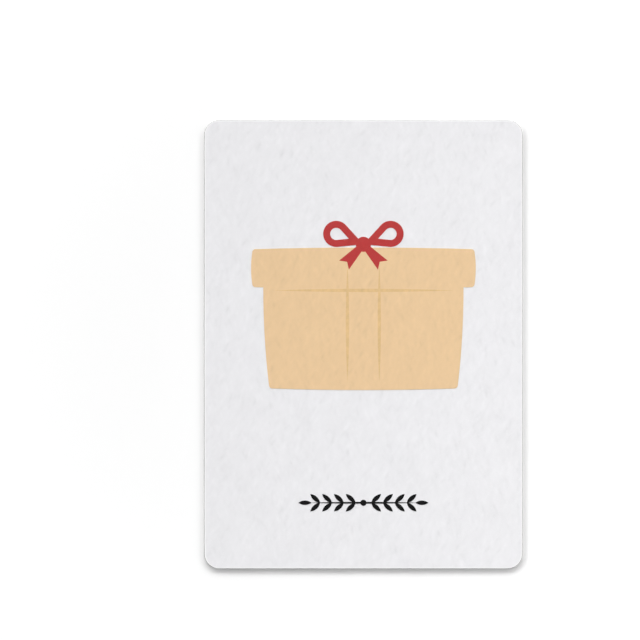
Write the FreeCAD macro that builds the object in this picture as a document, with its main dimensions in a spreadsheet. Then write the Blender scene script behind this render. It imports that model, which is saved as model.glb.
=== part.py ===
# Flat greeting card: one sheet of textured board, A6 upright, with four rounded corners.
# The front carries a flat print in four inks: a present with a lid, its soft tone lines,
# a bow on the lid and a small laurel near the lower edge.
# The card lies on its back. X runs across it, Y up the print and Z out of the front.
# The origin is the middle of the back face. Lengths are millimetres and angles degrees.
import FreeCAD, Part
import math
import operator
import os
import Sketcher
from FreeCAD import Placement, Rotation, Vector

# Driving dimensions: name, value, what it sets
CARD_SIZES = [
    ("card_width", 105, "across the card"),
    ("card_height", 148, "up the card"),
    ("card_thickness", 0.5, "caliper of the board"),
    ("corner_radius", 5, "rounded corners of the outline"),
    ("front_rim_radius", 0.15, "front edge, rolled over by the cutting die"),
    ("back_rim_radius", 0.05, "back edge, where the die comes through"),
]
BOX_SIZES = [
    ("ink_thickness", 0.03, "one pass of screen ink"),
    ("box_foot_above_edge", 59.5, "lower edge of the card to the foot of the box"),
    ("box_foot_width", 62, "box across its foot"),
    ("box_top_width", 66, "box across its top"),
    ("box_height", 34, "box from foot to lid"),
    ("lid_overhang", 3.5, "lid past the box on each side"),
    ("lid_height", 12.5, "lid from rim to top"),
    ("lid_lap", 0.6, "lid drawn over the top of the box"),
    ("side_swell", 0.55, "how far each drawn side swells in its middle"),
    ("drawn_corner_radius", 1.1, "soft corners of box and lid"),
]
LINE_SIZES = [
    ("ribbon_width", 10.5, "from one ribbon line to the other"),
    ("ribbon_line_foot", 2, "foot of the box up to the ribbon lines"),
    ("ribbon_line_head", 4.9, "top of the lid down to the ribbon lines"),
    ("rim_line_inset", 3, "side of the box in to the tone line under the lid"),
    ("rim_line_drop", 1.1, "rim of the lid down to its tone line"),
    ("tone_line_width", 1.1, "each tone line at its widest"),
]
BOW_SIZES = [
    ("bow_rise", 1.6, "top of the lid to the middle of the knot"),
    ("knot_radius", 2.5, "knot of the bow"),
    ("loop_reach", 9.6, "knot to the middle of a loop's round end"),
    ("loop_radius", 4.3, "round end of a loop"),
    ("loop_band", 2.3, "ribbon that a loop is drawn with"),
    ("loop_tilt", 21, "each loop above level"),
    ("tail_length", 9.4, "knot to the end of a tail"),
    ("tail_root_width", 1.8, "tail at the knot"),
    ("tail_end_width", 4.4, "tail at its end"),
    ("tail_notch", 1.5, "notch cut into the end of a tail"),
    ("tail_drop", 47, "each tail below level"),
]
LAUREL_SIZES = [
    ("laurel_above_edge", 21.8, "lower edge of the card to the stem"),
    ("berry_radius", 1, "round berry in the middle"),
    ("stem_width", 0.6, "stem at its widest"),
    ("first_leaf", 2.6, "middle to the first pair of leaves"),
    ("leaf_pitch", 3.9, "from one pair of leaves to the next"),
    ("leaf_pairs", 4, "pairs of leaves on each half"),
    ("leaf_length", 4.3, "leaf from stem to tip"),
    ("leaf_width", 1.45, "leaf at its widest"),
    ("leaf_tilt", 42, "leaf out of the stem's line"),
]

# How a sketch names its own axes, its origin and the points of a curve
ACROSS_AXIS, UP_AXIS = range(-1, -3, -1)
START, END, CENTRE = range(1, 4)
ORIGIN_POINT = (-1, START)

ARITHMETIC = {
    "+": operator.add,
    "-": operator.sub,
    "*": operator.mul,
    "/": operator.truediv,
    "^": operator.pow,
}

# Differences that count as none
FLATNESS = 1e-6
CLOSENESS = 1e-4

doc = FreeCAD.newDocument("greeting_card")
sizes = doc.addObject("Spreadsheet::Sheet", "sizes")


class Size:
    """A number, with the expression over the sheet that gives it."""

    def __init__(self, number, text):
        self.number = number
        self.text = text

    def join(self, sign, other):
        other = other if isinstance(other, Size) else Size(other, str(other))
        number = ARITHMETIC[sign](self.number, other.number)
        return Size(number, f"({self.text} {sign} {other.text})")

    def __add__(self, other):
        return self.join("+", other)

    def __sub__(self, other):
        return self.join("-", other)

    def __mul__(self, other):
        return self.join("*", other)

    def __truediv__(self, other):
        return self.join("/", other)

    def __pow__(self, other):
        return self.join("^", other)

    def __neg__(self):
        return Size(-self.number, f"(-{self.text})")


def fill_sheet(rows):
    """Writes one row of the sheet for each driving dimension and names its cell."""
    for row, (name, number, words) in enumerate(rows, start=1):
        sizes.set(f"A{row}", name)
        sizes.set(f"B{row}", str(number))
        sizes.set(f"C{row}", words)
        sizes.setAlias(f"B{row}", name)
    doc.recompute()


def size(name):
    """A driving dimension as the sheet gives it."""
    return Size(float(sizes.get(name)), f"sizes.{name}")


def square_root(area):
    """The square root of a size."""
    return Size(math.sqrt(area.number), f"sqrt({area.text})")


# Places and sizes that follow from the driving dimensions
fill_sheet(CARD_SIZES + BOX_SIZES + LINE_SIZES + BOW_SIZES + LAUREL_SIZES)
ZERO = Size(0, "0")
QUARTER_TURN = Size(90, "90")
INK = size("ink_thickness")
LOWER_EDGE = -size("card_height") / 2
BOX_FOOT = LOWER_EDGE + size("box_foot_above_edge")
LID_FOOT = size("box_height") - size("lid_lap")
LID_TOP = LID_FOOT + size("lid_height")
LID_WIDTH = size("box_top_width") + size("lid_overhang") * 2
RIM_LINE_LENGTH = size("box_top_width") - size("rim_line_inset") * 2
RIBBON_LINE_LENGTH = LID_TOP - size("ribbon_line_head") - size("ribbon_line_foot")
KNOT = BOX_FOOT + LID_TOP + size("bow_rise")
EYE_RADIUS = size("loop_radius") - size("loop_band")
EYE_APEX = size("loop_reach") * size("loop_band") / size("loop_radius")
LAUREL_STEM = LOWER_EDGE + size("laurel_above_edge")
STEM_REACH = size("first_leaf") + size("leaf_pitch") * size("leaf_pairs")


def new_body(label, up=ZERO, front=ZERO):
    """A body whose label names the sub-part, placed up the card and out of its back."""
    body = doc.addObject("PartDesign::Body", label)
    body.Label = label
    body.setExpression("Placement.Base.y", up.text)
    body.setExpression("Placement.Base.z", front.text)
    return body


def origin_feature(body, role):
    """One of the body's own origin planes or axes."""
    for feature in body.Origin.OriginFeatures:
        if feature.Role == role:
            return feature
    raise ValueError(f"{body.Label} has no {role}")


def new_sketch(body, name, across=ZERO, up=ZERO, turn=ZERO):
    """A sketch on the body's XY plane, moved and turned in it."""
    sketch = body.newObject("Sketcher::SketchObject", f"{body.Label}_{name}")
    sketch.AttachmentSupport = [(origin_feature(body, "XY_Plane"), "")]
    sketch.MapMode = "FlatFace"
    turned = Rotation(Vector(0, 0, 1), turn.number)
    sketch.AttachmentOffset = Placement(Vector(across.number, up.number, 0), turned)
    sketch.setExpression("AttachmentOffset.Base.x", across.text)
    sketch.setExpression("AttachmentOffset.Base.y", up.text)
    sketch.setExpression("AttachmentOffset.Rotation.Angle", turn.text)
    return sketch


def tie(sketch, kind, *parts):
    """Adds a geometric constraint, which has no size."""
    sketch.addConstraint(Sketcher.Constraint(kind, *parts))


def set_size(sketch, name, length, kind, *parts):
    """Adds a constraint whose size follows the sheet."""
    index = sketch.addConstraint(Sketcher.Constraint(kind, *parts, length.number))
    sketch.renameConstraint(index, name)
    sketch.setExpression(f"Constraints.{name}", length.text)


def add_line(sketch, start, end):
    """Draws a line in a sketch."""
    return sketch.addGeometry(Part.LineSegment(Vector(*start), Vector(*end)))


def add_arc(sketch, start, middle, end):
    """Draws an arc through three points, counter-clockwise."""
    return sketch.addGeometry(Part.Arc(Vector(*start), Vector(*middle), Vector(*end)))


def close_outline(sketch, curves):
    """Joins each curve's end to the next one's start."""
    for curve, following in zip(curves, curves[1:] + curves[:1]):
        tie(sketch, "Coincident", curve, END, following, START)


def swell_radius(chord, swell):
    """Radius of the arc that stands that far off the middle of its chord."""
    return (chord ** 2 / 4 + swell ** 2) / (swell * 2)


def new_pad(body, sketch, height):
    """Raises a sketch by a height."""
    pad = body.newObject("PartDesign::Pad", f"{sketch.Label}_pad")
    pad.Profile = sketch
    pad.setExpression("Length", height.text)
    doc.recompute()
    return pad


def soften(body, base, picked, radius, name):
    """Rounds the picked edges of a feature, or those of a picked face."""
    fillet = body.newObject("PartDesign::Fillet", f"{body.Label}_{name}")
    fillet.Base = (base, picked)
    fillet.setExpression("Radius", radius.text)
    doc.recompute()
    return fillet


def flat_face_name(shape, level):
    """Name of the flat face that lies at that height."""
    for index, face in enumerate(shape.Faces, start=1):
        if face.BoundBox.ZLength < FLATNESS and abs(face.BoundBox.ZMin - level) < FLATNESS:
            return f"Face{index}"
    raise ValueError(f"no flat face at {level}")


def upright_edges_at(shape, points):
    """Names of the upright edges that stand on the given points."""
    names = []
    for index, edge in enumerate(shape.Edges, start=1):
        box = edge.BoundBox
        near = any(math.dist((box.Center.x, box.Center.y), point) < CLOSENESS for point in points)
        if near and box.XLength + box.YLength < FLATNESS:
            names.append(f"Edge{index}")
    return names


def draw_rounded_outline(sketch, width, height, radius):
    """A rectangle about the origin, with tangent arcs for corners."""
    right, top, bend = width.number / 2, height.number / 2, radius.number
    inner_x, inner_y = right - bend, top - bend
    lines = [
        add_line(sketch, (-inner_x, -top), (inner_x, -top)),
        add_line(sketch, (right, -inner_y), (right, inner_y)),
        add_line(sketch, (inner_x, top), (-inner_x, top)),
        add_line(sketch, (-right, inner_y), (-right, -inner_y)),
    ]
    diagonal = bend * math.sqrt(0.5)
    arcs = []
    for x, y in ((1, -1), (1, 1), (-1, 1), (-1, -1)):
        on_side = (x * right, y * inner_y)
        on_level = (x * inner_x, y * top)
        middle = (x * (inner_x + diagonal), y * (inner_y + diagonal))
        first, last = (on_level, on_side) if x * y < 0 else (on_side, on_level)
        arcs.append(add_arc(sketch, first, middle, last))
    for line, arc, following in zip(lines, arcs, lines[1:] + lines[:1]):
        tie(sketch, "Tangent", line, END, arc, START)
        tie(sketch, "Tangent", arc, END, following, START)
    for level_line, side_line in (lines[:2], lines[2:]):
        tie(sketch, "Horizontal", level_line)
        tie(sketch, "Vertical", side_line)
    for arc in arcs[1:]:
        tie(sketch, "Equal", arcs[0], arc)
    tie(sketch, "Symmetric", arcs[0], CENTRE, arcs[2], CENTRE, *ORIGIN_POINT)
    set_size(sketch, "width", width, "DistanceX", lines[3], START, lines[1], START)
    set_size(sketch, "height", height, "DistanceY", lines[0], START, lines[2], START)
    set_size(sketch, "radius", radius, "Radius", arcs[0])


def draw_swelling_box(sketch, foot_width, top_width, height):
    """A box seen from the front, standing on the origin, whose four sides swell a little."""
    foot, top, tall = foot_width.number / 2, top_width.number / 2, height.number
    swell = size("side_swell")
    middle = (foot + top) / 2 + swell.number
    arcs = [
        add_arc(sketch, (-foot, 0), (0, -swell.number), (foot, 0)),
        add_arc(sketch, (foot, 0), (middle, tall / 2), (top, tall)),
        add_arc(sketch, (top, tall), (0, tall + swell.number), (-top, tall)),
        add_arc(sketch, (-top, tall), (-middle, tall / 2), (-foot, 0)),
    ]
    close_outline(sketch, arcs)
    tie(sketch, "PointOnObject", arcs[0], START, ACROSS_AXIS)
    for level_arc in (arcs[0], arcs[2]):
        tie(sketch, "Symmetric", level_arc, START, level_arc, END, UP_AXIS)
    tie(sketch, "Equal", arcs[1], arcs[3])
    set_size(sketch, "foot_width", foot_width, "DistanceX", arcs[0], START, arcs[0], END)
    set_size(sketch, "top_width", top_width, "DistanceX", arcs[2], END, arcs[2], START)
    set_size(sketch, "height", height, "DistanceY", arcs[1], START, arcs[1], END)
    side_chord = square_root(height ** 2 + ((top_width - foot_width) / 2) ** 2)
    set_size(sketch, "foot_radius", swell_radius(foot_width, swell), "Radius", arcs[0])
    set_size(sketch, "side_radius", swell_radius(side_chord, swell), "Radius", arcs[1])
    set_size(sketch, "top_radius", swell_radius(top_width, swell), "Radius", arcs[2])


def draw_lens(sketch, length, width):
    """A pointed leaf shape from the origin along the across axis, of two equal arcs."""
    far, half = length.number, width.number / 2
    arcs = [
        add_arc(sketch, (0, 0), (far / 2, -half), (far, 0)),
        add_arc(sketch, (far, 0), (far / 2, half), (0, 0)),
    ]
    close_outline(sketch, arcs)
    tie(sketch, "Coincident", arcs[0], START, *ORIGIN_POINT)
    tie(sketch, "PointOnObject", arcs[0], END, ACROSS_AXIS)
    tie(sketch, "Equal", *arcs)
    set_size(sketch, "length", length, "DistanceX", arcs[0], START, arcs[0], END)
    set_size(sketch, "radius", swell_radius(length, width / 2), "Radius", arcs[0])


def draw_teardrop(sketch, apex, reach, radius):
    """A teardrop along the across axis: its point at apex, its round end about reach."""
    point, centre, bend = apex.number, reach.number, radius.number
    cosine = bend / (centre - point)
    touch_x, touch_y = centre - bend * cosine, bend * math.sqrt(1 - cosine ** 2)
    under = add_line(sketch, (point, 0), (touch_x, -touch_y))
    end = add_arc(sketch, (touch_x, -touch_y), (centre + bend, 0), (touch_x, touch_y))
    over = add_line(sketch, (touch_x, touch_y), (point, 0))
    tie(sketch, "Tangent", under, END, end, START)
    tie(sketch, "Tangent", end, END, over, START)
    tie(sketch, "Coincident", over, END, under, START)
    tie(sketch, "PointOnObject", end, CENTRE, ACROSS_AXIS)
    if apex is ZERO:
        tie(sketch, "Coincident", under, START, *ORIGIN_POINT)
    else:
        tie(sketch, "PointOnObject", under, START, ACROSS_AXIS)
        set_size(sketch, "apex", apex, "DistanceX", *ORIGIN_POINT, under, START)
    set_size(sketch, "reach", reach, "DistanceX", *ORIGIN_POINT, end, CENTRE)
    set_size(sketch, "radius", radius, "Radius", end)


def draw_tail(sketch):
    """A ribbon's tail along the across axis: narrow at the origin, notched at its end."""
    length, notch = size("tail_length"), size("tail_notch")
    root, end = size("tail_root_width"), size("tail_end_width")
    far, root_half, end_half = length.number, root.number / 2, end.number / 2
    corners = [(0, root_half), (0, -root_half), (far, -end_half), (far - notch.number, 0), (far, end_half)]
    lines = [add_line(sketch, a, b) for a, b in zip(corners, corners[1:] + corners[:1])]
    close_outline(sketch, lines)
    tie(sketch, "Symmetric", lines[0], START, lines[0], END, *ORIGIN_POINT)
    tie(sketch, "Vertical", lines[0])
    tie(sketch, "Symmetric", lines[2], START, lines[3], END, ACROSS_AXIS)
    tie(sketch, "PointOnObject", lines[2], END, ACROSS_AXIS)
    set_size(sketch, "root", root, "DistanceY", lines[0], END, lines[0], START)
    set_size(sketch, "end", end, "DistanceY", lines[2], START, lines[3], END)
    set_size(sketch, "length", length, "DistanceX", lines[0], END, lines[2], START)
    set_size(sketch, "notch", notch, "DistanceX", lines[2], END, lines[2], START)


def draw_circle(sketch, radius):
    """A circle about the origin."""
    circle = sketch.addGeometry(Part.Circle(Vector(), Vector(0, 0, 1), radius.number))
    tie(sketch, "Coincident", circle, CENTRE, *ORIGIN_POINT)
    set_size(sketch, "radius", radius, "Radius", circle)


def lens_pad(body, name, length, width, **place):
    """A lens of ink."""
    sketch = new_sketch(body, name, **place)
    draw_lens(sketch, length, width)
    return new_pad(body, sketch, INK)


def mirrored(body, originals, plane, name):
    """Repeats features on the other side of one of the body's origin planes."""
    mirror = body.newObject("PartDesign::Mirrored", f"{body.Label}_{name}")
    mirror.Originals = originals
    mirror.MirrorPlane = (origin_feature(body, plane), [""])
    body.Tip = mirror
    doc.recompute()
    return mirror


def make_card():
    """The sheet: a rounded outline with the board's caliper, its rims rounded by the die."""
    body = new_body("card")
    outline = new_sketch(body, "outline")
    draw_rounded_outline(outline, size("card_width"), size("card_height"), size("corner_radius"))
    board = new_pad(body, outline, size("card_thickness"))
    front = flat_face_name(board.Shape, size("card_thickness").number)
    rolled = soften(body, board, [front], size("front_rim_radius"), "front_rim")
    back = flat_face_name(rolled.Shape, 0)
    soften(body, rolled, [back], size("back_rim_radius"), "back_rim")
    return body


def drawn_box(body, name, foot_width, top_width, height, up):
    """One filled box of ink with soft corners, standing at a height in the body."""
    sketch = new_sketch(body, name, up=up)
    draw_swelling_box(sketch, foot_width, top_width, height)
    pad = new_pad(body, sketch, INK)
    foot, top = up.number, (up + height).number
    foot_half, top_half = foot_width.number / 2, top_width.number / 2
    corners = [(-foot_half, foot), (foot_half, foot), (top_half, top), (-top_half, top)]
    picked = upright_edges_at(pad.Shape, corners)
    return soften(body, pad, picked, size("drawn_corner_radius"), f"{name}_corners")


def make_box_field():
    """The present as one field of ink: a box and the lid that laps over it."""
    body = new_body("box_field", BOX_FOOT, size("card_thickness"))
    drawn_box(body, "box", size("box_foot_width"), size("box_top_width"), size("box_height"), ZERO)
    drawn_box(body, "lid", LID_WIDTH, LID_WIDTH, size("lid_height"), LID_FOOT)
    return body


def make_line_field():
    """Tone lines of the present: two for its ribbon and one under the rim of the lid."""
    body = new_body("line_field", BOX_FOOT, size("card_thickness"))
    width = size("tone_line_width")
    rim_place = {"across": -RIM_LINE_LENGTH / 2, "up": LID_FOOT - size("rim_line_drop")}
    lens_pad(body, "rim", RIM_LINE_LENGTH, width, **rim_place)
    ribbon_place = {"across": size("ribbon_width") / 2, "up": size("ribbon_line_foot")}
    ribbon = lens_pad(body, "ribbon", RIBBON_LINE_LENGTH, width, turn=QUARTER_TURN, **ribbon_place)
    mirrored(body, [ribbon], "YZ_Plane", "ribbon_pair")
    return body


def make_bow():
    """The bow: a round knot, two open loops and two notched tails."""
    body = new_body("bow_print", KNOT, size("card_thickness"))
    knot = new_sketch(body, "knot")
    draw_circle(knot, size("knot_radius"))
    new_pad(body, knot, INK)
    loop = new_sketch(body, "loop", turn=size("loop_tilt"))
    draw_teardrop(loop, ZERO, size("loop_reach"), size("loop_radius"))
    loop_pad = new_pad(body, loop, INK)
    filled = loop_pad.Shape.Volume
    eye = new_sketch(body, "eye", turn=size("loop_tilt"))
    draw_teardrop(eye, EYE_APEX, size("loop_reach"), EYE_RADIUS)
    eye_cut = body.newObject("PartDesign::Pocket", "bow_print_eye_cut")
    eye_cut.Profile = eye
    eye_cut.Reversed = True
    eye_cut.setExpression("Length", INK.text)
    doc.recompute()
    if eye_cut.Shape.Volume >= filled:
        raise ValueError("the eye of the loop cuts nothing")
    tail = new_sketch(body, "tail", turn=-size("tail_drop"))
    draw_tail(tail)
    tail_pad = new_pad(body, tail, INK)
    mirrored(body, [loop_pad, eye_cut, tail_pad], "YZ_Plane", "pair")
    return body


def make_laurel():
    """The laurel: a berry, a stem that tapers both ways, and leaves in pairs along it."""
    body = new_body("laurel_print", LAUREL_STEM, size("card_thickness"))
    berry = new_sketch(body, "berry")
    draw_circle(berry, size("berry_radius"))
    new_pad(body, berry, INK)
    lens_pad(body, "stem", STEM_REACH * 2, size("stem_width"), across=-STEM_REACH)
    leaf = (size("leaf_length"), size("leaf_width"))
    end_leaf = lens_pad(body, "end_leaf", *leaf, across=STEM_REACH - size("leaf_length") / 4)
    mirrored(body, [end_leaf], "YZ_Plane", "end_leaves")
    side_leaf = lens_pad(body, "leaf", *leaf, across=size("first_leaf"), turn=size("leaf_tilt"))
    leaves = body.newObject("PartDesign::MultiTransform", "laurel_print_leaves")
    leaves.Originals = [side_leaf]
    row = body.newObject("PartDesign::LinearPattern", "laurel_print_row")
    row.Direction = (origin_feature(body, "X_Axis"), [""])
    row.Mode = "Spacing"
    row.setExpression("Offset", size("leaf_pitch").text)
    row.setExpression("Occurrences", size("leaf_pairs").text)
    under = body.newObject("PartDesign::Mirrored", "laurel_print_under")
    under.MirrorPlane = (origin_feature(body, "XZ_Plane"), [""])
    across = body.newObject("PartDesign::Mirrored", "laurel_print_across")
    across.MirrorPlane = (origin_feature(body, "YZ_Plane"), [""])
    leaves.Transformations = [row, under, across]
    body.Tip = leaves
    doc.recompute()
    return body


def knocked_out(label, base, tool):
    """A printed field with another one left out of it, so that no ink lies on ink."""
    cut = doc.addObject("Part::Cut", label)
    cut.Label = label
    cut.Base = base
    cut.Tool = tool
    doc.recompute()
    return cut


def check_objects():
    """Stops the build if any object of the document failed."""
    for item in doc.Objects:
        if {"Invalid", "Error"} & set(item.State):
            raise ValueError(f"{item.Label} is {item.State}")


def write_parts(nodes):
    """Writes each sub-part's shape to a file of its own, once all of them are sound."""
    for node in nodes:
        if node.Shape.isNull() or not node.Shape.isValid() or not node.Shape.Solids:
            raise ValueError(f"{node.Label} has no valid solid")
    os.makedirs("parts", exist_ok=True)
    for node in nodes:
        node.Shape.exportStep(f"parts/{node.Label}.step")
        box = node.Shape.BoundBox
        print(f"{node.Label}: {box.XLength:.2f} x {box.YLength:.2f} x {box.ZLength:.2f} mm,"
              f" {len(node.Shape.Solids)} solid(s), {node.Shape.Volume:.3f} mm3")


card = make_card()
box_field = make_box_field()
line_field = make_line_field()
bow_print = make_bow()
laurel_print = make_laurel()
line_print = knocked_out("line_print", line_field, bow_print)
box_without_lines = knocked_out("box_without_lines", box_field, line_field)
box_print = knocked_out("box_print", box_without_lines, bow_print)
check_objects()
write_parts([card, box_print, line_print, bow_print, laurel_print])
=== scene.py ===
# Flat greeting card of felt-marked white board, printed with a present, a bow and a laurel.
# It lies on its back on a pale table, and the camera looks straight down on it.
# Shapes are worked out in millimetres and handed over in metres.
import math
from typing import NamedTuple

import bmesh
import bpy
import numpy as np
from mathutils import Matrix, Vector, kdtree
from mathutils.geometry import delaunay_2d_cdt


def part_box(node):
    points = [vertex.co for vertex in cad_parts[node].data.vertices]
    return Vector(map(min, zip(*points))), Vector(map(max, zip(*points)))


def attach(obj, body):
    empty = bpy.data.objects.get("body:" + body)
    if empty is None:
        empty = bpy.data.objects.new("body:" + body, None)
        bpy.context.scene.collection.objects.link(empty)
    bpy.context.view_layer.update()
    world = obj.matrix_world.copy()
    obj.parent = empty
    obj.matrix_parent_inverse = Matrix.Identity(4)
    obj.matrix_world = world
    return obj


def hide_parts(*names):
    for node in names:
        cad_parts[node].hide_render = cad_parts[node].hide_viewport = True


MM = 0.001
TOUCHING = 1e-4             # millimetres within which two places are the same


class Marks(NamedTuple):
    """One kind of mark that the felt leaves in the wet board. Lengths in millimetres."""

    spacing: float
    width: float
    length: float
    shallowest: float
    deepest: float
    rarity: float           # 1 spreads the depths evenly, more makes deep marks rare


class Lamp(NamedTuple):
    """A square lamp that faces the card. Metres, and degrees round from the right and up."""

    name: str
    watts: float
    side: float
    distance: float
    turn: float
    height: float


class Ink(NamedTuple):
    """One printed ink, its place in the frame and how it lies on the board."""

    name: str
    node: str
    slot: str
    colour: tuple
    mottle: float           # how much its colour wavers
    skips: float            # how far the board shows through in the spots it skipped
    gloss: float


# Board
GRID_STEP = 0.48            # between points of the felt relief
BACK_STEP = 2.0             # the same on the back, which the felt barely marks
FACE_HEM = 0.06             # band of each face that keeps the bend of its rim off the rest
LATTICE_GAP = 0.4           # how near an edge point a point of the relief may lie, in its steps
CORNER_STEPS = 16           # along each rounded corner
RIM_STEPS = 3               # over each rolled rim
EDGE_STEPS = 3              # down the cut edge
EDGE_HOLLOW = 0.02          # how far the cut edge draws in between its rims
CREASE = math.radians(50)   # a bend from which an edge is shown sharp
SWELLS = Marks(3.4, 1.4, 3.2, -0.012, 0.012, 1)
DABS = Marks(1.35, 0.27, 0.85, -0.01, 0.01, 1)
PITS = Marks(3.0, 0.28, 0.85, 0, 0.022, 4)
FELT_REST = 0.03            # the front's plain level under its highest spots
FELT_LEAN, FELT_SPREAD = math.radians(82), math.radians(36)
BACK_SHARE = 0.15           # depth of the marks on the back, of those on the front
MARKED_SIDE = 190           # square that the marks cover, past the card on every side
MARK_SIZES = (0.75, 1.25)   # smallest and largest, of their kind's size
MARK_REACH = 3.2            # how far a mark is felt, in its own lengths
INK_KEY = 0.01              # how far an ink film reaches into the board's nap
PRESSED = "pressed"         # name of the points' own record of how deep a narrow mark pressed them

# Finish of the board. Lengths in millimetres, and grains in spots to a millimetre.
NAP_RELIEF, INKED_NAP, CUT_RELIEF = 0.02, 0.014, 0.03
NAP_GRAIN, CLOUD_GRAIN = 3.4, 0.085
NAP_ROUGHNESS = (0.96, -0.12)       # in its hollows, and what its highest spots add
CLOUD_SHADE = 0.05          # how much the pulp's colour wavers
FIBRE_TURNS = (25, 80, 140)         # degrees
FIBRE_PACKING = (0.7, 6, 1)         # fibres to a millimetre, along and across them
FIBRE_WIDTH = 0.03          # of the noise's range
FIBRE_WAVER, FIBRE_BEND = 0.6, 1.6  # grain of their bends, and how far these reach
FIBRE_BREAKS, BREAK_ENDS = 0.9, (0.48, 0.62)
FIBRE_HEIGHT, FIBRE_TINT = 0.25, 0.25       # share of the nap's relief, and of the way to the white of the painted rim highlight
LAYER_PACKING = (0.5, 0.5, 16)      # layers of pulp in the cut edge, to a millimetre each way
LAYER_ENDS = (0.3, 0.7)
CUT_ROUGHNESS = (0.98, -0.08)       # of its deep layers, and what the pale ones add
BOARD_GLOSS, CUT_GLOSS = 0.04, 0.03
PAINTED_RIM_HIGHLIGHT = 0.65             # width of the painted highlight along the rim
RIM_BLUR = 0.03             # half the blur where that painted highlight meets the painted shade on the rolled rim

# Finish of the inks
BLOTCH_GRAIN, SKIP_GRAIN = 0.8, 7.0
SKIP_ENDS = (0.64, 0.72)    # range of the noise over which an ink skips a spot
INK_ROUGHNESS = (0.76, 0.5)         # on the whole, and what its blotches add

# Colours, linear
BOARD_WHITE = (0.842, 0.838, 0.857)
# White of the painted rim highlight, which the loose fibres also take, and the painted shade on the rolled
# rim
HIGHLIGHT_AND_FIBRE_WHITE, PAINTED_RIM_SHADE = (0.95, 0.947, 0.957), (0.3, 0.295, 0.29)
EDGE_PALE, EDGE_DEEP = (0.57, 0.563, 0.55), (0.4, 0.393, 0.382)
PAINTED_MARK_SHADE = 3.0         # painted shade: share of its colour that the board or an ink loses for each millimetre a narrow mark pressed it, and gains where one raised it
INKS = [
    Ink("peach_present", "box_print", "peach_ink", (0.819, 0.582, 0.342), 0.05, 0.1, 0.05),
    Ink("tone_lines", "line_print", "tone_ink", (0.758, 0.516, 0.257), 0.3, 0.14, 0.05),
    Ink("red_bow", "bow_print", "red_ink", (0.487, 0.051, 0.050), 0.1, 0.04, 0.05),
    Ink("black_laurel", "laurel_print", "black_ink", (0.007, 0.007, 0.0075), 0.2, 0.02, 0.05),
]

# Light. Heights in the ring are the sine of the elevation.
SKY_LIGHT = 0.1
RING_LIGHT = 7.55
RING_LEAN = 2               # 0 for an even ring, more for one that comes mostly from one side
RING_TURN = 12              # degrees of that side round from the head of the card to its left
RING_FOOT, RING_HEAD = (0.08, 0.14), (0.2, 0.35)
LAMPS = [
    Lamp("side_lamp", 0.9, 0.25, 0.6, -8, 50),      # near light that falls off across the card
]
TABLE_GLOW, FAR_GLOW = 0.02, 0.32   # how bright the table shows by itself, near the card and far off
GLOW_START, GLOW_FULL = 0.06, 0.3   # metres from the middle of the card
TABLE_REACH = 2.0           # metres

# The photograph's frame
PHOTO_SIDE = 640
CARD_CENTRE_PIXEL = (363.4, 344.4)
CARD_WIDTH_PIXELS = 318.5
LENS, SENSOR = 100, 36

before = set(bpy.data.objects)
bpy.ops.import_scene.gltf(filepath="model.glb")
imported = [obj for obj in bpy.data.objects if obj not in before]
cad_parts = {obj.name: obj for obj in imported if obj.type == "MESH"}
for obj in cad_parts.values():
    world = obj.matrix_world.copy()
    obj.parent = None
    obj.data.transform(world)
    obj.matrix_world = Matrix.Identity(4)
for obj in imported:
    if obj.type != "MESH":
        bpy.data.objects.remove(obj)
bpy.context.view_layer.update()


# Outlines

class Outline:
    """A rectangle about the origin with rounded corners, in millimetres."""

    def __init__(self, half, radius):
        self.half = np.array(half)
        self.radius = radius

    def grown(self, margin):
        return Outline(self.half + margin, self.radius + margin)

    def loop(self):
        """Its points, counter-clockwise. Outlines grown from one another have as many."""
        centre = self.half - self.radius
        points = []
        for corner, quadrant in enumerate([(1, -1), (1, 1), (-1, 1), (-1, -1)]):
            for turn in np.linspace(corner - 1, corner, CORNER_STEPS + 1) * math.pi / 2:
                points.append(centre * quadrant + self.radius * np.array((math.cos(turn), math.sin(turn))))
            side = 2 * centre[1 - corner % 2]
            ahead = np.array((-math.sin(turn), math.cos(turn)))
            count = math.ceil(side / GRID_STEP)
            points += [points[-1] + ahead * side * k / count for k in range(1, count)]
        return np.array(points)


def resampled(loop, step):
    """The loop with points added along it, so that none are further apart than the step."""
    corners = np.array(loop)
    points = []
    for start, end in zip(corners, np.roll(corners, -1, axis=0)):
        count = max(1, math.ceil(np.linalg.norm(end - start) / step))
        points += [start + (end - start) * k / count for k in range(count)]
    return np.array(points)


def signed_area(loop):
    """Positive where the loop runs counter-clockwise."""
    x, y = np.array(loop).T
    return (x * np.roll(y, -1) - y * np.roll(x, -1)).sum() / 2


def flat_loops(node, level):
    """Closed outlines of the flat face that a node has at a height, counter-clockwise."""
    mesh = bmesh.new()
    mesh.from_mesh(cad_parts[node].data)
    bmesh.ops.scale(mesh, vec=(1 / MM,) * 3, verts=mesh.verts)
    bmesh.ops.remove_doubles(mesh, verts=mesh.verts, dist=TOUCHING)
    for face in mesh.faces:
        face.tag = all(abs(v.co.z - level) < TOUCHING for v in face.verts)
    following = {}
    for corner in (corner for face in mesh.faces if face.tag for corner in face.loops):
        if sum(face.tag for face in corner.edge.link_faces) == 1:
            following[corner.vert] = corner.link_loop_next.vert
    loops = []
    while following:
        first, vert = following.popitem()
        loop = [tuple(first.co.xy)]
        while vert is not first:
            loop.append(tuple(vert.co.xy))
            vert = following.pop(vert)
        loops.append(loop if signed_area(loop) > 0 else loop[::-1])
    mesh.free()
    return loops


def face_outline(node, level):
    """The rounded outline of the flat face that a node has at a height."""
    (loop,) = flat_loops(node, level)
    points = np.abs(np.array(loop))
    half = points.max(axis=0)
    straight = points[points[:, 1] > half[1] - TOUCHING, 0].max()
    return Outline(half, half[0] - straight)


# Felt relief

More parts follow.
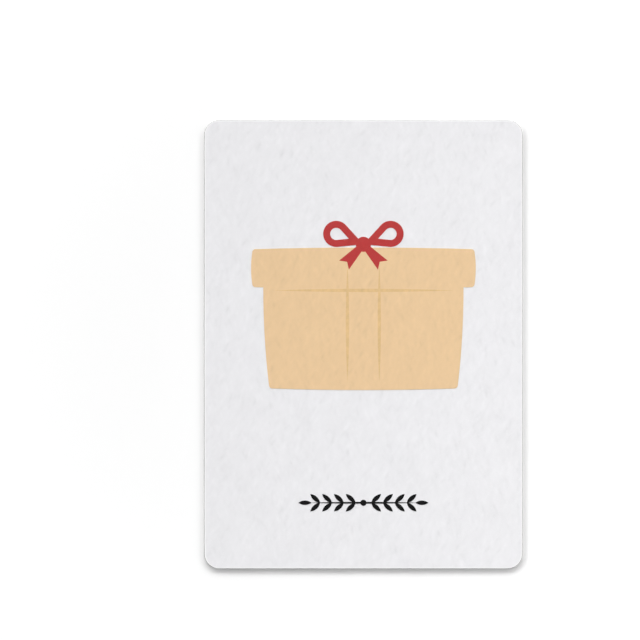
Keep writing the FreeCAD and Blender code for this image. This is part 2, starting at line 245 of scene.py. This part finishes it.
def mark_depths(points, marks, seed):
    """How deep one kind of mark presses each point: a slanted dab in each cell of a loose grid."""
    cells = math.ceil(MARKED_SIDE / marks.spacing)
    right, up, turn, size, depth = np.random.default_rng(seed).random((5, cells, cells))
    turn = FELT_LEAN + FELT_SPREAD * (2 * turn - 1)
    size = MARK_SIZES[0] + (MARK_SIZES[1] - MARK_SIZES[0]) * size
    depth = marks.shallowest + (marks.deepest - marks.shallowest) * depth ** marks.rarity
    place = points / marks.spacing + cells / 2
    column, row = np.floor(place).astype(int).T
    reach = math.ceil(MARK_REACH * marks.length / marks.spacing)
    pressed = np.zeros(len(points))
    for cell_x in range(-reach, reach + 1):
        for cell_y in range(-reach, reach + 1):
            cell = row + cell_y, column + cell_x
            dx = (cell[1] + right[cell] - place[:, 0]) * marks.spacing
            dy = (cell[0] + up[cell] - place[:, 1]) * marks.spacing
            along = (dx * np.cos(turn[cell]) + dy * np.sin(turn[cell])) / marks.length
            aside = (dx * np.sin(turn[cell]) - dy * np.cos(turn[cell])) / marks.width
            pressed += depth[cell] * np.exp((along ** 2 + aside ** 2) / size[cell] ** 2 / -2)
    return pressed


def narrow_marks(points):
    """How deep the felt's narrow marks press each point of the front."""
    return mark_depths(points, DABS, seed=1) + mark_depths(points, PITS, seed=2)


def front_relief(points):
    """How far each point of the front lies under its nominal face."""
    return np.maximum(FELT_REST + mark_depths(points, SWELLS, seed=0) + narrow_marks(points), 0)


def back_relief(points):
    """The same for the back, which lay on the wire and not on the felt."""
    pressed = mark_depths(points, SWELLS, seed=3) + mark_depths(points, DABS, seed=4)
    return np.maximum(FELT_REST + pressed, 0) * BACK_SHARE


# Meshes

def lattice(edge_points, step):
    """Points of a triangular lattice over the box of the given points, clear of them."""
    near = kdtree.KDTree(len(edge_points))
    for index, (x, y) in enumerate(edge_points):
        near.insert((x, y, 0), index)
    near.balance()
    (left, foot), (right, top) = edge_points.min(axis=0), edge_points.max(axis=0)
    points = []
    for row, y in enumerate(np.arange(foot, top, step * math.sqrt(0.75))):
        for x in np.arange(left + step / 2 * (row % 2), right, step):
            if near.find((x, y, 0))[2] > step * LATTICE_GAP:
                points.append((x, y))
    return np.array(points).reshape(-1, 2)


def filled(loops, step):
    """Points and triangles that fill closed loops, but not their holes. The loops' points come first."""
    edge_points = np.concatenate(loops)
    plane = np.concatenate([edge_points, lattice(edge_points, step)])
    ends = np.cumsum([len(loop) for loop in loops])
    rings = [list(range(end - len(loop), end)) for loop, end in zip(loops, ends)]
    filling, merging = 1, 1e-6      # keep what the loops surround, and join points this near
    made = delaunay_2d_cdt([Vector(point) for point in plane], [], rings, filling, merging, True)
    triangles = np.array([face for face, inside in zip(made[2], made[5]) if len(set(inside)) % 2])
    used = np.unique(triangles)
    return np.array(made[0])[used], np.searchsorted(used, triangles)


def raised(points, heights):
    """Plane points with a height each, or one for all of them."""
    return np.column_stack([points, np.broadcast_to(heights, len(points))])


def new_piece(name, points, faces, slot, pressed, *materials):
    """A smooth piece of the card from points in millimetres, that knows where the felt pressed them."""
    mesh = bpy.data.meshes.new(name)
    mesh.from_pydata((points * MM).tolist(), [], faces)
    mesh.validate()
    mesh.attributes.new(PRESSED, "FLOAT", "POINT").data.foreach_set("value", pressed)
    mesh.shade_smooth()
    mesh.set_sharp_from_angle(angle=CREASE)
    for material in materials:
        mesh.materials.append(material)
    piece = bpy.data.objects.new(name, mesh)
    bpy.context.scene.collection.objects.link(piece)
    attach(piece, "root")
    return piece


def rolled_rows(face, rim, level, turn, relief):
    """Closed rows of points over a rolled rim, where the relief dies out towards the cut edge."""
    rows = []
    for share in np.linspace(0, 1, RIM_STEPS + 1):
        angle = share * math.pi / 2
        loop = face.grown(rim * math.sin(angle)).loop()
        drop = rim * (1 - math.cos(angle)) + relief(loop) * (1 - share)
        rows.append(raised(loop, level + turn * drop))
    return rows


def edge_rows(outer, top, foot):
    """Closed rows of points down the cut edge, between its rims."""
    rows = []
    for share in np.linspace(0, 1, EDGE_STEPS + 2)[1:-1]:
        hollow = EDGE_HOLLOW * math.sin(share * math.pi)
        rows.append(raised(outer.grown(-hollow).loop(), top + (foot - top) * share))
    return rows


def ring_faces(starts, count):
    """Faces between closed rows of points, given where each row starts."""
    faces = []
    for upper, lower in zip(starts, starts[1:]):
        for k in range(count):
            after = (k + 1) % count
            faces.append((lower + k, lower + after, upper + after, upper + k))
    return faces


def make_card(front_face, board, cut_edge):
    """The sheet: felt-marked front, rolled rims, hollow cut edge and nearly smooth back."""
    low, high = (corner / MM for corner in map(np.array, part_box("card")))
    back_face = face_outline("card", low[2])
    front_rim, back_rim = (high[0] - face.half[0] for face in (front_face, back_face))
    front, front_triangles = filled([front_face.grown(-FACE_HEM).loop()], GRID_STEP)
    back, back_triangles = filled([back_face.grown(-FACE_HEM).loop()], BACK_STEP)
    front_rows = rolled_rows(front_face, front_rim, high[2], -1, front_relief)
    back_rows = rolled_rows(back_face, back_rim, low[2], 1, back_relief)[::-1]
    wall = edge_rows(front_face.grown(front_rim), front_rows[-1][0, 2], back_rows[0][0, 2])
    rows = front_rows + wall + back_rows
    count = len(rows[0])
    starts = [0] + [len(front) + count * k for k in range(len(rows) + 1)]
    points = np.concatenate([
        raised(front, high[2] - front_relief(front)),
        *rows,
        raised(back, low[2] + back_relief(back)),
    ])
    back_faces = back_triangles[:, ::-1] + starts[-1]
    faces = front_triangles.tolist() + ring_faces(starts, count) + back_faces.tolist()
    pressed = np.zeros(len(points))
    pressed[:len(front)] = narrow_marks(front)
    piece = new_piece("felt_marked_board", points, faces, "board", pressed, board, cut_edge)
    first_cut = len(front_triangles) + len(front_rows) * count
    for face in piece.data.polygons[first_cut:first_cut + (len(wall) + 1) * count]:
        face.material_index = 1
    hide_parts("card")


def make_ink(ink, material):
    """One ink: a film that follows the relief of the board, inside its node's outlines."""
    low, high = (corner.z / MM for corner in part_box(ink.node))
    loops = [resampled(loop, GRID_STEP / 2) for loop in flat_loops(ink.node, high)]
    points, triangles = filled(loops, GRID_STEP)
    relief = front_relief(points)
    count = len(points)
    both = np.concatenate([raised(points, high - relief), raised(points, low - relief - INK_KEY)])
    edges = {(a, b) for triangle in triangles.tolist() for a, b in zip(triangle, np.roll(triangle, -1))}
    walls = [(a + count, b + count, b, a) for a, b in edges if (b, a) not in edges]
    faces = triangles.tolist() + (triangles[:, ::-1] + count).tolist() + sorted(walls)
    piece = new_piece(ink.name, both, faces, ink.slot, np.tile(narrow_marks(points), 2), material)
    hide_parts(ink.node)


# Nodes

def feed(tree, socket, given):
    """Links another node's output to a socket, or sets the socket to a value."""
    if isinstance(given, bpy.types.NodeSocket):
        tree.links.new(given, socket)
    else:
        socket.default_value = given


def add_node(tree, kind, settings=(), **inputs):
    """A new node, with its inputs fed by name."""
    node = tree.nodes.new(kind)
    for name, setting in dict(settings).items():
        setattr(node, name, setting)
    for name, given in inputs.items():
        feed(tree, node.inputs[name.replace("_", " ")], given)
    return node


def calculate(tree, operation, *values):
    """The output of a math node."""
    node = add_node(tree, "ShaderNodeMath", {"operation": operation})
    for socket, given in zip(node.inputs, values):
        feed(tree, socket, given)
    return node.outputs["Value"]


def calculate_vector(tree, operation, *values):
    """The output of a vector math node, a number where the operation gives one."""
    node = add_node(tree, "ShaderNodeVectorMath", {"operation": operation})
    for socket, given in zip(node.inputs, values):
        feed(tree, socket, given)
    return node.outputs["Value" if operation in ("LENGTH", "DOT_PRODUCT") else "Vector"]


def remap(tree, value, ends, results):
    """The value carried smoothly from one range to another, and held at its ends."""
    smooth = {"interpolation_type": "SMOOTHSTEP"}
    node = add_node(
        tree, "ShaderNodeMapRange", smooth, Value=value,
        From_Min=ends[0], From_Max=ends[1], To_Min=results[0], To_Max=results[1],
    )
    return node.outputs["Result"]


def noise(tree, place, scale, detail=0.0):
    """Even noise over the surface, about 0 to 1."""
    return add_node(tree, "ShaderNodeTexNoise", Vector=place, Scale=scale, Detail=detail).outputs["Fac"]


def blend_colours(tree, share, first, second, kind="MIX"):
    """Two colours blended by a share."""
    node = add_node(tree, "ShaderNodeMix", {"data_type": "RGBA", "blend_type": kind})
    for index, given in ((0, share), (6, first), (7, second)):
        feed(tree, node.inputs[index], given)
    return node.outputs[2]


def new_group(name, inputs, outputs):
    """An empty node group with named inputs and outputs, given as (label, kind of socket)."""
    group = bpy.data.node_groups.new(name, "ShaderNodeTree")
    for label, kind in inputs:
        group.interface.new_socket(label, in_out="INPUT", socket_type="NodeSocket" + kind)
    for label, kind in outputs:
        group.interface.new_socket(label, in_out="OUTPUT", socket_type="NodeSocket" + kind)
    return group, group.nodes.new("NodeGroupInput").outputs, group.nodes.new("NodeGroupOutput").inputs


def use_group(tree, group, **inputs):
    """A node group placed in a material. Returns its outputs."""
    return add_node(tree, "ShaderNodeGroup", {"node_tree": group}, **inputs).outputs


def in_millimetres(tree, place):
    return calculate_vector(tree, "MULTIPLY", place, (1 / MM,) * 3)


def opaque(colour):
    return (*colour, 1)


# Finishes that more than one material shares

def make_nap():
    """The board's fine surface: matted nap, loose fibres across it and the cloudy spread of its pulp."""
    outputs = [("Height", "Float"), ("Fibre", "Float"), ("Cloud", "Float")]
    group, given, out = new_group("board nap", [("Vector", "Vector")], outputs)
    place = in_millimetres(group, given["Vector"])
    nap = noise(group, place, NAP_GRAIN, 3.0)
    waver = add_node(group, "ShaderNodeTexNoise", Vector=place, Scale=FIBRE_WAVER, Detail=1.0)
    reach = (FIBRE_BEND, FIBRE_BEND, 0)
    bent = calculate_vector(group, "MULTIPLY_ADD", waver.outputs["Color"], reach, place)
    fibre = 0.0
    for turn in FIBRE_TURNS:
        turned = add_node(
            group, "ShaderNodeVectorRotate", {"rotation_type": "Z_AXIS"},
            Vector=bent, Angle=math.radians(turn),
        ).outputs["Vector"]
        streaks = noise(group, calculate_vector(group, "MULTIPLY", turned, FIBRE_PACKING), 1.0)
        off_centre = calculate(group, "ABSOLUTE", calculate(group, "SUBTRACT", streaks, 0.5))
        fibre = calculate(group, "MAXIMUM", remap(group, off_centre, (FIBRE_WIDTH, 0.0), (0, 1)), fibre)
    broken = remap(group, noise(group, place, FIBRE_BREAKS), BREAK_ENDS, (0, 1))
    fibre = calculate(group, "MULTIPLY", fibre, broken)
    feed(group, out["Height"], calculate(group, "MULTIPLY_ADD", fibre, FIBRE_HEIGHT, nap))
    feed(group, out["Fibre"], fibre)
    feed(group, out["Cloud"], noise(group, place, CLOUD_GRAIN, 2.0))
    return group


def make_ink_lay():
    """How an ink lies on the nap: mottled, a little matt or slick, and skipping tiny spots of board."""
    inputs = [
        ("Color", "Color"), ("Board", "Color"), ("Vector", "Vector"), ("Mottle", "Float"), ("Skips", "Float"),
    ]
    group, given, out = new_group("ink lay", inputs, [("Color", "Color"), ("Roughness", "Float")])
    place = in_millimetres(group, given["Vector"])
    blotch = calculate(group, "SUBTRACT", noise(group, place, BLOTCH_GRAIN, 3.0), 0.5)
    shade = calculate(group, "MULTIPLY_ADD", blotch, given["Mottle"], 1.0)
    tinted = blend_colours(group, 1.0, given["Color"], shade, "MULTIPLY")
    skipped = remap(group, noise(group, place, SKIP_GRAIN, 1.0), SKIP_ENDS, (0, 1))
    skipped = calculate(group, "MULTIPLY", skipped, given["Skips"])
    feed(group, out["Color"], blend_colours(group, skipped, tinted, given["Board"]))
    roughness = calculate(group, "MULTIPLY_ADD", blotch, INK_ROUGHNESS[1], INK_ROUGHNESS[0])
    feed(group, out["Roughness"], roughness)
    return group


# Materials

def new_material(name, gloss):
    """A material with its tree, its shader and the place of each point on the card."""
    material = bpy.data.materials.new(name)
    material.use_nodes = True
    tree = material.node_tree
    shader = tree.nodes["Principled BSDF"]
    shader.inputs["Specular IOR Level"].default_value = gloss
    return material, tree, shader.inputs, add_node(tree, "ShaderNodeTexCoord").outputs["Object"]


def with_painted_mark_shade(tree, colour):
    """The colour with painted shade where a narrow mark pressed the board, and a painted highlight where one
    raised it.
    """
    pressed = add_node(tree, "ShaderNodeAttribute", {"attribute_name": PRESSED}).outputs["Fac"]
    shade = calculate(tree, "MULTIPLY_ADD", pressed, -PAINTED_MARK_SHADE, 1.0)
    return blend_colours(tree, 1.0, colour, shade, "MULTIPLY")


def emboss(tree, height, depth):
    """The normal of a surface with a relief of that depth in millimetres."""
    return add_node(tree, "ShaderNodeBump", Height=height, Distance=depth * MM).outputs["Normal"]


def shown(tree):
    """1 along rays that show things to the camera, straight or in a shine, and 0 along those that light."""
    path = add_node(tree, "ShaderNodeLightPath").outputs
    seen = calculate(tree, "MAXIMUM", path["Is Camera Ray"], path["Is Glossy Ray"])
    return calculate(tree, "MAXIMUM", seen, path["Is Transmission Ray"])


def reach_to_rim(tree, place, outline):
    """How far out each point lies, in millimetres: the outline's corner radius all along the outline."""
    folded = calculate_vector(tree, "ABSOLUTE", in_millimetres(tree, place))
    centre = (*(outline.half - outline.radius), 0)
    past = calculate_vector(tree, "MULTIPLY", calculate_vector(tree, "SUBTRACT", folded, centre), (1, 1, 0))
    outside = calculate_vector(tree, "MAXIMUM", past, (0, 0, 0))
    far = calculate_vector(tree, "LENGTH", outside)
    sides = add_node(tree, "ShaderNodeSeparateXYZ", Vector=past).outputs
    nearest = calculate(tree, "MINIMUM", calculate(tree, "MAXIMUM", sides["X"], sides["Y"]), 0.0)
    return calculate(tree, "ADD", far, nearest)


def board_material(nap, outline):
    """Soft white board, with a painted highlight along its rim and painted shade where it rolls over."""
    material, tree, shader, place = new_material("white_board", BOARD_GLOSS)
    surface = use_group(tree, nap, Vector=place)
    off_mean = calculate(tree, "SUBTRACT", surface["Cloud"], 0.5)
    cloud = calculate(tree, "MULTIPLY_ADD", off_mean, CLOUD_SHADE, 1.0)
    # painted shade in the hollows of the felt's narrow marks
    pulp = blend_colours(tree, 1.0, with_painted_mark_shade(tree, opaque(BOARD_WHITE)), cloud, "MULTIPLY")
    paler = calculate(tree, "MULTIPLY", surface["Fibre"], FIBRE_TINT)
    pulp = blend_colours(tree, paler, pulp, opaque(HIGHLIGHT_AND_FIBRE_WHITE))
    reached = reach_to_rim(tree, place, outline)
    # painted highlight: a band along the rim lightened towards white
    line = remap(tree, reached, (outline.radius - PAINTED_RIM_HIGHLIGHT, outline.radius), (0, 1))
    # painted shade: the rolled rim darkened, blurred into the painted highlight
    rolled = remap(tree, reached, (outline.radius - RIM_BLUR, outline.radius + RIM_BLUR), (0, 1))
    pulp = blend_colours(tree, line, pulp, opaque(HIGHLIGHT_AND_FIBRE_WHITE))
    feed(tree, shader["Base Color"], blend_colours(tree, rolled, pulp, opaque(PAINTED_RIM_SHADE)))
    roughness = calculate(tree, "MULTIPLY_ADD", surface["Height"], NAP_ROUGHNESS[1], NAP_ROUGHNESS[0])
    feed(tree, shader["Roughness"], roughness)
    feed(tree, shader["Normal"], emboss(tree, surface["Height"], NAP_RELIEF))
    return material


def cut_edge_material(nap):
    """The cut through the board, where its layers of pulp show."""
    material, tree, shader, place = new_material("cut_edge", CUT_GLOSS)
    surface = use_group(tree, nap, Vector=place)
    layered = calculate_vector(tree, "MULTIPLY", in_millimetres(tree, place), LAYER_PACKING)
    layers = noise(tree, layered, 1.0, 3.0)
    cut = remap(tree, layers, LAYER_ENDS, (0, 1))
    feed(tree, shader["Base Color"], blend_colours(tree, cut, opaque(EDGE_DEEP), opaque(EDGE_PALE)))
    roughness = calculate(tree, "MULTIPLY_ADD", cut, CUT_ROUGHNESS[1], CUT_ROUGHNESS[0])
    feed(tree, shader["Roughness"], roughness)
    height = calculate(tree, "ADD", layers, surface["Height"])
    feed(tree, shader["Normal"], emboss(tree, height, CUT_RELIEF))
    return material


def ink_material(ink, nap, ink_lay):
    """An ink that follows the nap of the board."""
    material, tree, shader, place = new_material(ink.slot, ink.gloss)
    surface = use_group(tree, nap, Vector=place)
    lay = use_group(
        tree, ink_lay, Color=opaque(ink.colour), Board=opaque(BOARD_WHITE),
        Vector=place, Mottle=ink.mottle, Skips=ink.skips,
    )
    # painted shade in the hollows of the felt's narrow marks, under the ink as well
    feed(tree, shader["Base Color"], with_painted_mark_shade(tree, lay["Color"]))
    feed(tree, shader["Roughness"], lay["Roughness"])
    feed(tree, shader["Normal"], emboss(tree, surface["Height"], INKED_NAP))
    return material


def table_material():
    """Plain matt white, shown as pure white away from the card, but no brighter in what it lights."""
    material, tree, shader, place = new_material("table_white", 0)
    shader["Base Color"].default_value = opaque((1, 1, 1))
    shader["Roughness"].default_value = 1
    shader["Emission Color"].default_value = opaque((1, 1, 1))
    distance = calculate_vector(tree, "LENGTH", place)
    glow = remap(tree, distance, (GLOW_START, GLOW_FULL), (TABLE_GLOW, FAR_GLOW))
    feed(tree, shader["Emission Strength"], calculate(tree, "MULTIPLY", shown(tree), glow))
    return material


# Table, light and camera

def make_table():
    """The plain table that the card lies on."""
    mesh = bpy.data.meshes.new("table")
    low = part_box("card")[0].z
    corners = [(x * TABLE_REACH, y * TABLE_REACH, low) for x, y in ((-1, -1), (1, -1), (1, 1), (-1, 1))]
    mesh.from_pydata(corners, [], [(0, 1, 2, 3)])
    mesh.materials.append(table_material())
    table = bpy.data.objects.new("table", mesh)
    bpy.context.scene.collection.objects.link(table)


def make_world():
    """A ring of soft light round the table, strongest from the head of the card, under a faint sky."""
    world = bpy.data.worlds.new("studio")
    bpy.context.scene.world = world
    world.use_nodes = True
    tree = world.node_tree
    background = tree.nodes["Background"].inputs
    background["Color"].default_value = opaque((1, 1, 1))
    direction = add_node(tree, "ShaderNodeTexCoord").outputs["Generated"]
    parts = add_node(tree, "ShaderNodeSeparateXYZ", Vector=direction).outputs
    foot, head = remap(tree, parts["Z"], RING_FOOT, (0, 1)), remap(tree, parts["Z"], RING_HEAD, (1, 0))
    ring = calculate(tree, "MULTIPLY", foot, head)
    side = (-math.sin(math.radians(RING_TURN)), math.cos(math.radians(RING_TURN)), 0)
    towards = calculate_vector(tree, "DOT_PRODUCT", direction, side)
    lean = calculate(tree, "POWER", calculate(tree, "ADD", towards, 1), RING_LEAN)
    light = calculate(tree, "MULTIPLY_ADD", calculate(tree, "MULTIPLY", ring, lean), RING_LIGHT, SKY_LIGHT)
    strength = add_node(tree, "ShaderNodeMix", Factor=shown(tree), A=light, B=1.0)
    feed(tree, background["Strength"], strength.outputs[0])


def make_lamp(lamp):
    """A soft lamp, unseen by the camera."""
    data = bpy.data.lights.new(lamp.name, "AREA")
    data.shape = "SQUARE"
    data.size = lamp.side
    data.energy = lamp.watts
    turn, height = math.radians(lamp.turn), math.radians(lamp.height)
    away = Vector((math.cos(height) * math.cos(turn), math.cos(height) * math.sin(turn), math.sin(height)))
    made = bpy.data.objects.new(lamp.name, data)
    made.location = away * lamp.distance
    made.rotation_euler = away.to_track_quat("Z", "Y").to_euler()
    made.visible_camera = False
    bpy.context.scene.collection.objects.link(made)


def make_camera():
    """Straight above, with the card where the photograph has it."""
    low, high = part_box("card")
    pixels_per_metre = CARD_WIDTH_PIXELS / (high.x - low.x)
    view_side = PHOTO_SIDE / pixels_per_metre
    across = (PHOTO_SIDE / 2 - CARD_CENTRE_PIXEL[0]) / pixels_per_metre
    up = (CARD_CENTRE_PIXEL[1] - PHOTO_SIDE / 2) / pixels_per_metre
    data = bpy.data.cameras.new("camera")
    data.lens, data.sensor_width = LENS, SENSOR
    camera = bpy.data.objects.new("camera", data)
    camera.location = (across, up, high.z + view_side * LENS / SENSOR)
    bpy.context.scene.collection.objects.link(camera)
    bpy.context.scene.camera = camera


make_camera()
nap, ink_lay = make_nap(), make_ink_lay()
front_face = face_outline("card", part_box("card")[1].z / MM)
make_card(front_face, board_material(nap, front_face), cut_edge_material(nap))
for ink in INKS:
    make_ink(ink, ink_material(ink, nap, ink_lay))
make_table()
make_world()
for lamp in LAMPS:
    make_lamp(lamp)
bpy.context.scene.view_settings.view_transform = "Standard"
